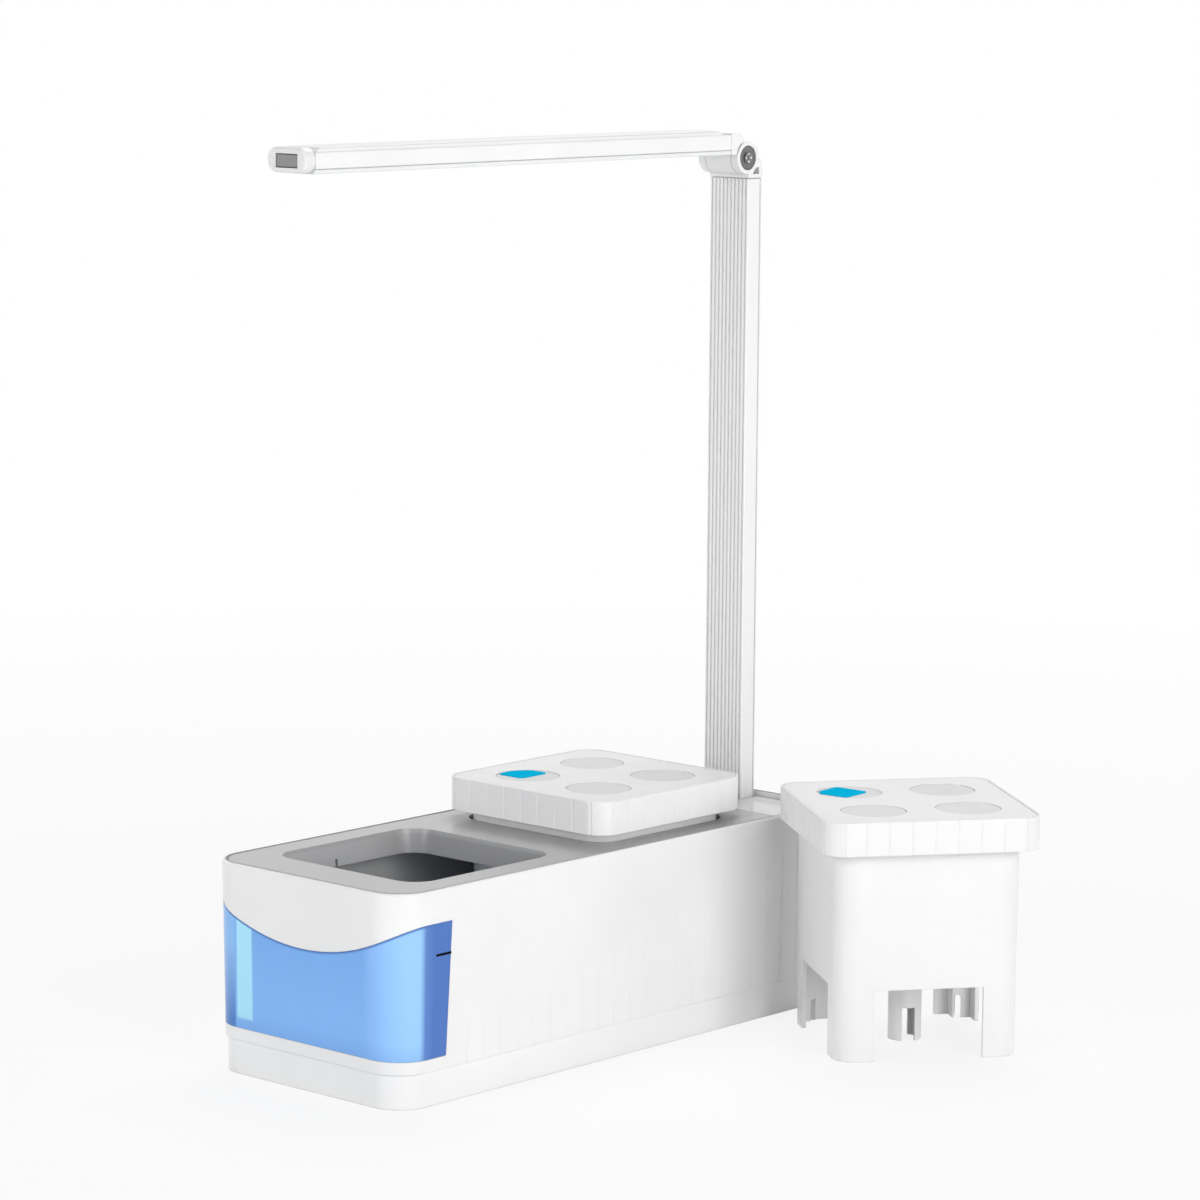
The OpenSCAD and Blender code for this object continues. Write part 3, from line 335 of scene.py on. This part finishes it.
def makeScuffs(s):
    group, given, out = newGroup("fineScuffs", {"Amount": s["amount"]}, {"Mask": "NodeSocketFloat"})
    first, second = (spread(group, noise(group, objectPoint(group, stretch), *s["lines"]), *s["line"])
                     for stretch in s["stretches"])
    patches = spread(group, noise(group, objectPoint(group), *s["patches"]), *s["patch"])
    scaledMask(group, given, out, calc(group, "MAXIMUM", first, second), patches)
    return group


# painted shade: a mask from ambient occlusion in narrow gaps and inner corners, which darkens them as
# shade would
seamSettings = {"reach": 0.0015, "amount": 0.5, "samples": 6, "deep": (0.3, 0.8, 1.0, 0.0)}


def makeSeamShade(s):
    group, given, out = newGroup("seamShade", {"Reach": s["reach"], "Amount": s["amount"]},
                                 {"Mask": "NodeSocketFloat"})
    cover = group.nodes.new("ShaderNodeAmbientOcclusion")
    cover.samples = s["samples"]
    group.links.new(given.outputs["Reach"], cover.inputs["Distance"])
    deep = spread(group, cover.outputs["AO"], *s["deep"])
    group.links.new(calc(group, "MULTIPLY", deep, given.outputs["Amount"], True), out.inputs["Mask"])
    return group


grainGroup = makeGrain(grainSettings)
edgeGroup = makeEdgeWearAndHighlight(edgeSettings)
dustGroup = makeDust(dustSettings)
scuffGroup = makeScuffs(scuffSettings)
seamGroup = makeSeamShade(seamSettings)


def place(tree, group, **values):
    node = tree.nodes.new("ShaderNodeGroup")
    node.node_tree = group
    for label, value in values.items():
        node.inputs[label].default_value = value
    return node


def newMaterial(name):
    mat = bpy.data.materials.new(name)
    mat.use_nodes = True
    return mat, mat.node_tree, mat.node_tree.nodes["Principled BSDF"]


# moulded and painted finishes: colour, tone, gloss, grain, worn edges and dust, painted shade in gaps and
# inner corners, and a painted highlight on the deck's edges
finishSettings = {
    "white_shell": {"colour": (0.865, 0.865, 0.865), "gloss": (0.33, 0.36), "grain": 2600.0, "bump": 0.05,
                    "scuffs": 0.1, "seams": 0.3},
    "base_white": {"colour": (0.88, 0.88, 0.88), "gloss": (0.32, 0.42), "grain": 2400.0, "bump": 0.06},
    "rubber": {"colour": (0.035, 0.035, 0.036), "gloss": (0.7, 0.9), "grain": 1500.0, "bump": 0.2,
               "edge": (0.09, 0.09, 0.09)},
    "mark_black": {"colour": (0.004, 0.004, 0.005), "gloss": (0.4, 0.5), "grain": 3000.0, "bump": 0.05,
                   "specular": 0.0},
    # the deck's pale edge colour is a painted highlight along its edges, laid on through the edge mask
    "deck_grey": {"colour": (0.43, 0.43, 0.432), "gloss": (0.17, 0.24), "grain": 2200.0, "bump": 0.05,
                  "edge": (0.85, 0.85, 0.85), "wear": 0.9},
    "cover_white": {"colour": (0.865, 0.865, 0.865), "gloss": (0.06, 0.12), "grain": 900.0, "bump": 0.01},
    "board_green": {"colour": (0.015, 0.16, 0.06), "gloss": (0.3, 0.45), "grain": 900.0, "bump": 0.1},
    "parts_dark": {"colour": (0.03, 0.03, 0.034), "gloss": (0.35, 0.5), "grain": 2500.0, "bump": 0.1},
    "black_plastic": {"colour": (0.02, 0.02, 0.021), "gloss": (0.35, 0.5), "grain": 2500.0, "bump": 0.1},
    "lamp_white": {"colour": (0.865, 0.865, 0.865), "gloss": (0.3, 0.38), "grain": 1800.0, "bump": 0.05,
                   "seams": 0.35},
    "hinge_white": {"colour": (0.855, 0.855, 0.855), "gloss": (0.3, 0.42), "grain": 2200.0, "bump": 0.07},
    "washer_nylon": {"colour": (0.8, 0.8, 0.78), "gloss": (0.4, 0.5), "grain": 2500.0, "bump": 0.05},
    "cap_dark": {"colour": (0.12, 0.122, 0.126), "gloss": (0.3, 0.42), "grain": 2600.0, "bump": 0.08,
                 "edge": (0.3, 0.3, 0.3)},
    "board_white": {"colour": (0.8, 0.8, 0.78), "gloss": (0.35, 0.5), "grain": 900.0, "bump": 0.05},
    "led": {"colour": (0.85, 0.72, 0.3), "gloss": (0.2, 0.3), "grain": 1800.0, "bump": 0.02},
    "diffuser_milk": {"colour": (0.82, 0.835, 0.845), "gloss": (0.3, 0.4), "grain": 2000.0, "bump": 0.03},
    "button_grey": {"colour": (0.25, 0.252, 0.256), "gloss": (0.45, 0.6), "grain": 2600.0, "bump": 0.15,
                    "edge": (0.4, 0.4, 0.4)},
    "planter_white": {"colour": (0.865, 0.865, 0.865), "gloss": (0.28, 0.38), "grain": 2600.0,
                      "bump": 0.06},
    "plug_grey": {"colour": (0.73, 0.73, 0.73), "gloss": (0.42, 0.55), "grain": 1600.0, "bump": 0.25},
    "tab_blue": {"colour": (0.004, 0.52, 0.83), "gloss": (0.5, 0.6), "grain": 1200.0, "bump": 0.05,
                 "specular": 0.0, "dust": 0.0, "wear": 0.0, "seams": 0.0},
}
deckTop = boxOf("deck_plate")[1].z
shellHigh = boxOf("tank_shell")[1]
postRear = boxOf("post")[1].y
# painted light and shade inside the funnels: walls below the deck top painted lighter, and painted shade
# past Y = -35 mm, ramping in from -75 mm
finishSettings["deck_grey"]["tones"] = [
    {"axis": "Z", "ramps": ((deckTop - 0.001, deckTop - 0.003),), "colour": (0.48, 0.48, 0.482)},
    {"axis": "YZ", "ramps": ((-0.075, -0.035), (deckTop - 0.001, deckTop - 0.003)),
     "colour": (0.32, 0.32, 0.322)},
]
finishSettings["post_white"] = dict(finishSettings["white_shell"], tones=[
    {"axis": "Y", "colour": (0.36, 0.36, 0.36),
     "ramps": ((postRear - 0.0021, postRear - 0.0018), (postRear - 0.0012, postRear - 0.0015))},
    {"axis": "Y", "ramps": ((postRear - 0.0014, postRear - 0.0012),), "colour": (0.74, 0.74, 0.74)},
])
# painted shade: the shell below the deck, seen only from inside, is painted darker as in the shade of the
# deck, and a painted shadow line darkens the rim's inner edge
shellPlan = {"half": (shellHigh.x, shellHigh.y), "round": 0.0215}
finishSettings["white_shell"]["inside"] = [
    dict(shellPlan, skin=(0.0019, 0.0023), level=(deckTop - 0.004, deckTop - 0.007),
         colour=(0.5, 0.5, 0.49)),
    dict(shellPlan, skin=(0.0012, 0.0016), level=(shellHigh.z - 0.0005, shellHigh.z - 0.0003),
         colour=(0.25, 0.25, 0.25)),
]
finishSettings["pot_white"] = dict(finishSettings["planter_white"], seams=0.1)
# painted shade: the side planter's lid ring and pot get the planter white painted darker
finishSettings["planter_white_shaded"] = dict(finishSettings["planter_white"], colour=(0.835, 0.835, 0.835),
                                     seams=0.3)
# painted shade: the arm's end cap gets the lamp white painted darker
finishSettings["lamp_white_shaded"] = dict(finishSettings["lamp_white"], colour=(0.8, 0.8, 0.8))
stripTop = boxOf("arm_top_strip")[1].z
finishSettings["strip_white"] = dict(finishSettings["lamp_white"], tones=[
    {"axis": "Z", "colour": (0.62, 0.62, 0.62),
     "ramps": ((stripTop - 0.0008, stripTop - 0.0006), (stripTop - 0.0002, stripTop - 0.0004))},
])


# the points within a tone's ramps: one axis letter for all its ramps, or one for each
def toneMask(tree, tone):
    split = parts(tree, objectPoint(tree))
    ramps = tone["ramps"]
    axes = tone["axis"] if len(tone["axis"]) == len(ramps) else tone["axis"]*len(ramps)
    mask, *others = (spread(tree, split[axis], *ramp) for axis, ramp in zip(axes, ramps))
    for other in others:
        mask = calc(tree, "MULTIPLY", mask, other)
    return mask


# points inside a wall that follows an upright box with round corners
def insideMask(tree, s):
    corner = (s["half"][0] - s["round"], s["half"][1] - s["round"], 0.0)
    point = objectPoint(tree)
    away = vector(tree, "SUBTRACT", vector(tree, "ABSOLUTE", point), corner)
    away = vector(tree, "MULTIPLY", vector(tree, "MAXIMUM", away, (0.0, 0.0, 0.0)), (1.0, 1.0, 0.0))
    depth = calc(tree, "SUBTRACT", s["round"], vector(tree, "LENGTH", away))
    level = spread(tree, parts(tree, point)["Z"], *s["level"])
    return calc(tree, "MULTIPLY", spread(tree, depth, *s["skin"]), level)


# what a finish uses where it names nothing of its own
plasticShared = {
    "drift": 14.0,
    "edgeRadius": 0.0005,
    "wear": 0.35,
    "dust": 0.1,
    "scuffs": 0.3,
    "seamReach": 0.0012,
    "seams": 0.6,
    "specular": 0.5,
    "ior": 1.48,
    "tone": (0.35, 0.65),
    "deepen": 0.965,
    "edgeLift": 0.25,
    "dustColour": (0.62, 0.6, 0.57),
    "seamShadeColour": 0.25,
    "glossTone": (0.3, 0.7),
    "dustRough": 0.4,
    "scuffRough": 0.2,
    "bumpDistance": 0.0002,
}


def makePlastic(name, own, shared):
    s = {**shared, **own}
    mat, tree, shader = newMaterial(name)
    grain = place(tree, grainGroup, Scale=s["grain"], Drift=s["drift"])
    edgeNode = place(tree, edgeGroup, Radius=s["edgeRadius"], Amount=s["wear"])
    dust = place(tree, dustGroup, Amount=s["dust"])
    scuffs = place(tree, scuffGroup, Amount=s["scuffs"])
    seams = place(tree, seamGroup, Reach=s["seamReach"], Amount=s["seams"])
    light = s["colour"]
    deep = tuple(c*s["deepen"] for c in light)
    edge = s.get("edge", tuple(c + (1.0 - c)*s["edgeLift"] for c in light))
    colour = blend(tree, spread(tree, grain.outputs["Tone"], *s["tone"]), light, deep)
    for extra in s.get("tones", ()):
        colour = blend(tree, toneMask(tree, extra), colour, extra["colour"])
    for extra in s.get("inside", ()):
        colour = blend(tree, insideMask(tree, extra), colour, extra["colour"])
    # worn edges; on the deck this is a painted highlight along the edges
    colour = blend(tree, edgeNode.outputs["Mask"], colour, edge)
    colour = blend(tree, dust.outputs["Mask"], colour, s["dustColour"])
    # painted shade: gaps and inner corners darkened through the seam mask
    colour = blend(tree, seams.outputs["Mask"], colour, tuple(c*s["seamShadeColour"] for c in light))
    tree.links.new(colour, shader.inputs["Base Color"])
    rough = spread(tree, grain.outputs["Tone"], *s["glossTone"], *s["gloss"])
    for veil, amount in ((dust, s["dustRough"]), (scuffs, s["scuffRough"])):
        rough = calc(tree, "ADD", rough, calc(tree, "MULTIPLY", veil.outputs["Mask"], amount), True)
    tree.links.new(rough, shader.inputs["Roughness"])
    addBump(tree, shader, grain.outputs["Height"], s["bump"], s["bumpDistance"], edgeNode.outputs["Normal"])
    shader.inputs["IOR"].default_value = s["ior"]
    shader.inputs["Specular IOR Level"].default_value = s["specular"]
    return mat


steelSettings = {
    "colour": (0.58, 0.58, 0.59),
    "dull": (0.5, 0.5, 0.5),
    "edge": (0.75, 0.75, 0.75),
    "wear": {"Radius": 0.0003, "Amount": 0.5},
    "stretch": (60.0, 60.0, 4000.0),
    "lines": (1.0, 3.0),
    "blotches": (90.0, 4.0),
    "blotch": (0.35, 0.7),
    "gloss": (0.3, 0.7, 0.22, 0.4),
    "bump": (0.06, 0.0001),
}


def makeSteel(name, s):
    mat, tree, shader = newMaterial(name)
    edgeNode = place(tree, edgeGroup, **s["wear"])
    lines = noise(tree, objectPoint(tree, s["stretch"]), *s["lines"])
    blotches = noise(tree, objectPoint(tree), *s["blotches"])
    colour = blend(tree, spread(tree, blotches, *s["blotch"]), s["colour"], s["dull"])
    colour = blend(tree, edgeNode.outputs["Mask"], colour, s["edge"])
    tree.links.new(colour, shader.inputs["Base Color"])
    tree.links.new(spread(tree, lines, *s["gloss"]), shader.inputs["Roughness"])
    addBump(tree, shader, lines, *s["bump"], edgeNode.outputs["Normal"])
    shader.inputs["Metallic"].default_value = 1.0
    return mat


# X spans run from the tank's middle, Y spans from the window's front and Z spans from its foot,
# but bodyZ, endZ and arcZ are heights above the floor, and rim runs out from arcRadius
windowSettings = {
    "high": (0.178, 0.434, 0.874),
    "low": (0.215, 0.478, 0.93),
    "bodyZ": (0.045, 0.075),
    "turn": (0.262, 0.522, 0.98),
    "turnX": (0.0445, 0.051),
    "lens": (0.33, 0.615, 0.98),
    "lensX": (0.053, 0.069),
    "flank": (0.093, 0.22, 0.568),
    "flankEnd": (0.052, 0.154, 0.489),
    "rightX": (0.0, 0.01),
    "flankY": (0.0158, 0.0192),
    "flankEndY": (0.0185, 0.025),
    "patch": (0.42, 0.82, 1.0),
    "patchLeftX": (-0.0505, -0.049),
    "patchRightX": (-0.0385, -0.0375),
    "patchZ": (0.0075, 0.0095),
    "endHigh": (0.26, 0.53, 0.93),
    "endLow": (0.045, 0.2, 0.58),
    "endZ": (0.03, 0.07),
    "endX": (-0.0505, -0.0515),
    "edge": (0.05, 0.16, 0.48),
    "arcZ": 0.2144,
    "arcRadius": 0.138,
    "rim": (0.0004, 0.0016),
    "sillZ": (0.0006, 0.0025),
    "sillDepth": 0.9,
    "hazeZ": (0.001, 0.012),
    "bottomShadeDepth": 0.25,
    "glow": (0.01, 0.02, 0.045),
    "alphaX": (-0.064, -0.052),
    "alpha": (0.88, 0.94),
    "alphaDrift": (0.2, 0.8, -0.02, 0.02),
    "grain": {"Scale": 1200.0, "Drift": 10.0},
    "gloss": (0.3, 0.7, 0.14, 0.2),
    "bump": (0.01, 0.0001),
    "ior": 1.49,
}


# blue window with painted light and shade laid on by position: painted highlights where it turns round
# the corner, a painted see-through patch, painted shade on its side, at its left end and along its edges,
# and a painted glow
def makeWindow(name, s):
    mat, tree, shader = newMaterial(name)
    windowLow = boxOf("water_window")[0]
    grain = place(tree, grainGroup, **s["grain"])
    split = parts(tree, objectPoint(tree))
    x, y, z = (split[axis] for axis in "XYZ")

    def along(socket, span, start=0.0, *reached):
        return spread(tree, socket, start + span[0], start + span[1], *reached)

    # painted shading: the blue is darker towards the top than low down
    colour = blend(tree, along(z, s["bodyZ"]), s["low"], s["high"])
    # painted highlights where the window turns round the corner
    colour = blend(tree, along(x, s["turnX"]), colour, s["turn"])
    colour = blend(tree, along(x, s["lensX"]), colour, s["lens"])
    # painted shade on the window's side, deeper towards its far end
    flank = calc(tree, "MULTIPLY", along(y, s["flankY"], windowLow.y), along(x, s["rightX"]))
    flankTone = blend(tree, along(y, s["flankEndY"], windowLow.y), s["flank"], s["flankEnd"])
    colour = blend(tree, flank, colour, flankTone)
    # painted see-through: a pale patch where the bright background would show through the glass
    patch = calc(tree, "MULTIPLY", along(x, s["patchLeftX"]), along(x, s["patchRightX"], 0.0, 1.0, 0.0))
    patch = calc(tree, "MULTIPLY", patch, along(z, s["patchZ"], windowLow.z))
    colour = blend(tree, patch, colour, s["patch"])
    # painted shade at the window's left end, deeper low down
    endTone = blend(tree, along(z, s["endZ"]), s["endLow"], s["endHigh"])
    colour = blend(tree, along(x, s["endX"]), colour, endTone)
    # painted shade along the top arc, a dark line at the sill and a darker band towards the bottom
    heart = vector(tree, "SUBTRACT", objectPoint(tree, (1.0, 0.0, 1.0)), (0.0, 0.0, s["arcZ"]))
    edge = along(vector(tree, "LENGTH", heart), s["rim"], s["arcRadius"], 1.0, 0.0)
    for span, depth in ((s["sillZ"], s["sillDepth"]), (s["hazeZ"], s["bottomShadeDepth"])):
        edge = calc(tree, "MAXIMUM", edge, along(z, span, windowLow.z, depth, 0.0))
    colour = blend(tree, edge, colour, s["edge"])
    tree.links.new(colour, shader.inputs["Base Color"])
    # painted light: a faint blue glow, though the window gives no light
    shader.inputs["Emission Color"].default_value = (*s["glow"], 1.0)
    shader.inputs["Emission Strength"].default_value = 1.0
    tree.links.new(spread(tree, grain.outputs["Tone"], *s["gloss"]), shader.inputs["Roughness"])
    alpha = along(x, s["alphaX"], 0.0, *s["alpha"])
    alpha = calc(tree, "ADD", alpha, spread(tree, grain.outputs["Tone"], *s["alphaDrift"]), True)
    tree.links.new(alpha, shader.inputs["Alpha"])
    addBump(tree, shader, grain.outputs["Height"], *s["bump"])
    shader.inputs["IOR"].default_value = s["ior"]
    return mat


screwSettings = {
    "colour": (0.115, 0.115, 0.118),
    "lift": 1.6,
    "edge": (0.2, 0.2, 0.2),
    "glint": (0.9, 0.9, 0.9),
    "out": 0.002,
    "size": (0.0004, 0.0008),
    "wear": {"Radius": 0.0003, "Amount": 0.4},
    "grain": {"Scale": 3000.0, "Drift": 60.0},
    "gloss": (0.3, 0.7, 0.35, 0.5),
}


# blackened screw head with four painted highlights where its cross recess would catch the light
def makeScrew(name, s):
    mat, tree, shader = newMaterial(name)
    low, high = boxOf("hinge_screws")
    heart = (low + high)/2
    edgeNode = place(tree, edgeGroup, **s["wear"])
    grain = place(tree, grainGroup, **s["grain"])
    side = vector(tree, "SUBTRACT", objectPoint(tree, (0.0, 1.0, 1.0)), (0.0, heart.y, heart.z))
    around = vector(tree, "ABSOLUTE", side)
    first, second = (vector(tree, "LENGTH", vector(tree, "SUBTRACT", around, spot))
                     for spot in ((0.0, s["out"], 0.0), (0.0, 0.0, s["out"])))
    near = calc(tree, "MINIMUM", first, second)
    colour = blend(tree, grain.outputs["Tone"], s["colour"], tuple(c*s["lift"] for c in s["colour"]))
    colour = blend(tree, edgeNode.outputs["Mask"], colour, s["edge"])
    # painted highlights: four bright dots round the screw's middle
    colour = blend(tree, spread(tree, near, *s["size"], 1.0, 0.0), colour, s["glint"])
    tree.links.new(colour, shader.inputs["Base Color"])
    tree.links.new(spread(tree, grain.outputs["Tone"], *s["gloss"]), shader.inputs["Roughness"])
    tree.links.new(edgeNode.outputs["Normal"], shader.inputs["Normal"])
    return mat


materials = {name: makePlastic(name, s, plasticShared) for name, s in finishSettings.items()}
materials["steel"] = makeSteel("steel", steelSettings)
materials["window_blue"] = makeWindow("window_blue", windowSettings)
materials["screw_dark"] = makeScrew("screw_dark", screwSettings)
for name, cadNode in nodes.items():
    cadNode.data.materials.clear()
    cadNode.data.materials.append(materials[slotOfNode[name]])
print("finishes made:", len(materials))


# skins: merged copies of the frame's pieces, with softened edges and smooth shading
skinSettings = {
    "base_pan": {"bevel": 0.0004},
    "tank_shell": {"bevel": 0.0003},
    "water_window": {"bevel": 0.0003},
    "deck_plate": {"bevel": 0.0004, "snap": 0.00002, "merge": 0.0001},
    "lamp_cover": {"bevel": 0.0004},
    "post": {"bevel": 0.0002, "name": "postTube", "finish": "post_white"},
    "post_saddle": {"bevel": 0.0003},
    "arm_knuckle": {"bevel": 0.0003},
    "arm_housing": {"bevel": 0.0002},
    "arm_top_strip": {"bevel": 0.0002, "flare": 0.0021, "ramp": 0.0052, "finish": "strip_white"},
    "arm_end_cap": {"bevel": 0.0003, "round": 0.0016, "pocket": (0.0085, 0.0048), "pocketDrop": 0.0065,
                    "finish": "lamp_white_shaded"},
    "switch_button": {"bevel": 0.0004},
    "hinge_caps": {"bevel": 0.0003},
    "hinge_screws": {"bevel": 0.0001, "finish": "screw_dark"},
    "diffuser": {"bevel": 0.0002, "name": "lampDiffuser"},
    "rear_pot": {"bevel": 0.0004, "finish": "pot_white"},
    "side_pot": {"bevel": 0.0004, "finish": "planter_white_shaded"},
    "rear_lid_ring": {"bevel": 0.0003},
    "side_lid_ring": {"bevel": 0.0003, "finish": "planter_white_shaded"},
    "rear_lid_panel": {"bevel": 0.0003},
    "side_lid_panel": {"bevel": 0.0003},
}
for planter in ("rear", "side"):
    for plug in ("plug_1", "plug_2", "plug_3", "blue_plug"):
        skinSettings[f"{planter}_{plug}"] = {"bevel": 0.0002}
skinShared = {
    "snap": 0.0,
    "merge": 0.000025,
    "flat": math.radians(0.3),
    "sharp": math.radians(28),
    "smooth": math.radians(50),
    "segments": 2,
    "roundSegments": 4,
    "faceReach": 0.00005,
    "endReach": 0.001,
    "weight": 60,
}


def pieceName(cadName):
    first, *rest = cadName.split("_")
    return first + "".join(word.capitalize() for word in rest)


def sharpEdges(bm, angle):
    return [e for e in bm.edges if len(e.link_faces) == 2 and e.calc_face_angle(0.0) > angle]


def bevelEdges(bm, edges, offset, segments):
    bmesh.ops.bevel(bm, geom=edges, offset=offset, offset_type="OFFSET", segments=segments,
                    profile=0.5, affect="EDGES", clamp_overlap=True, material=-1)


# edges on the front face that lie outside the pocket in its middle
def aroundPocket(edge, s, low, high):
    middleX, middleZ = (low.x + high.x)/2, high.z - s["pocketDrop"]
    wide, tall = s["pocket"]
    return all(v.co.y < low.y + s["faceReach"]
               and (abs(v.co.x - middleX) > wide or abs(v.co.z - middleZ) > tall)
               for v in edge.verts)


# sides and front end that slope out towards the foot
def slopeSides(bm, s, low, high):
    for vert in bm.verts:
        depth = (high.z - vert.co.z)/(high.z - low.z)
        vert.co.x += math.copysign(s["flare"]*depth, vert.co.x)
        if vert.co.y < low.y + s["endReach"]:
            vert.co.y -= s["ramp"]*depth


def makeSkin(cadName, own, shared):
    s = {**shared, **own}
    bm = bmesh.new()
    bm.from_mesh(nodes[cadName].data)
    low, high = boxOf(cadName)
    for vert in bm.verts:
        if abs(vert.co.z - high.z) < s["snap"]:
            vert.co.z = high.z
    bmesh.ops.remove_doubles(bm, verts=bm.verts, dist=s["merge"])
    bmesh.ops.dissolve_limit(bm, angle_limit=s["flat"], use_dissolve_boundaries=False,
                             verts=bm.verts, edges=bm.edges, delimit=set())
    if "flare" in s:
        slopeSides(bm, s, low, high)
    if "round" in s:
        outline = [e for e in sharpEdges(bm, s["sharp"]) if aroundPocket(e, s, low, high)]
        bevelEdges(bm, outline, s["round"], s["roundSegments"])
    bevelEdges(bm, sharpEdges(bm, s["sharp"]), s["bevel"], s["segments"])
    for face in bm.faces:
        face.smooth = True
    name = s.get("name", pieceName(cadName))
    mesh = bpy.data.meshes.new(name)
    bm.to_mesh(mesh)
    bm.free()
    mesh.set_sharp_from_angle(angle=s["smooth"])
    piece = bpy.data.objects.new(name, mesh)
    scene.collection.objects.link(piece)
    mesh.materials.append(materials[s.get("finish", slotOfNode[cadName])])
    weigh = piece.modifiers.new("flatFaces", "WEIGHTED_NORMAL")
    weigh.keep_sharp = True
    weigh.weight = s["weight"]
    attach(piece, bodyOfNode[cadName])
    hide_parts(cadName)


for cadName, skin in skinSettings.items():
    makeSkin(cadName, skin, skinShared)
print("skins made:", len(skinSettings))
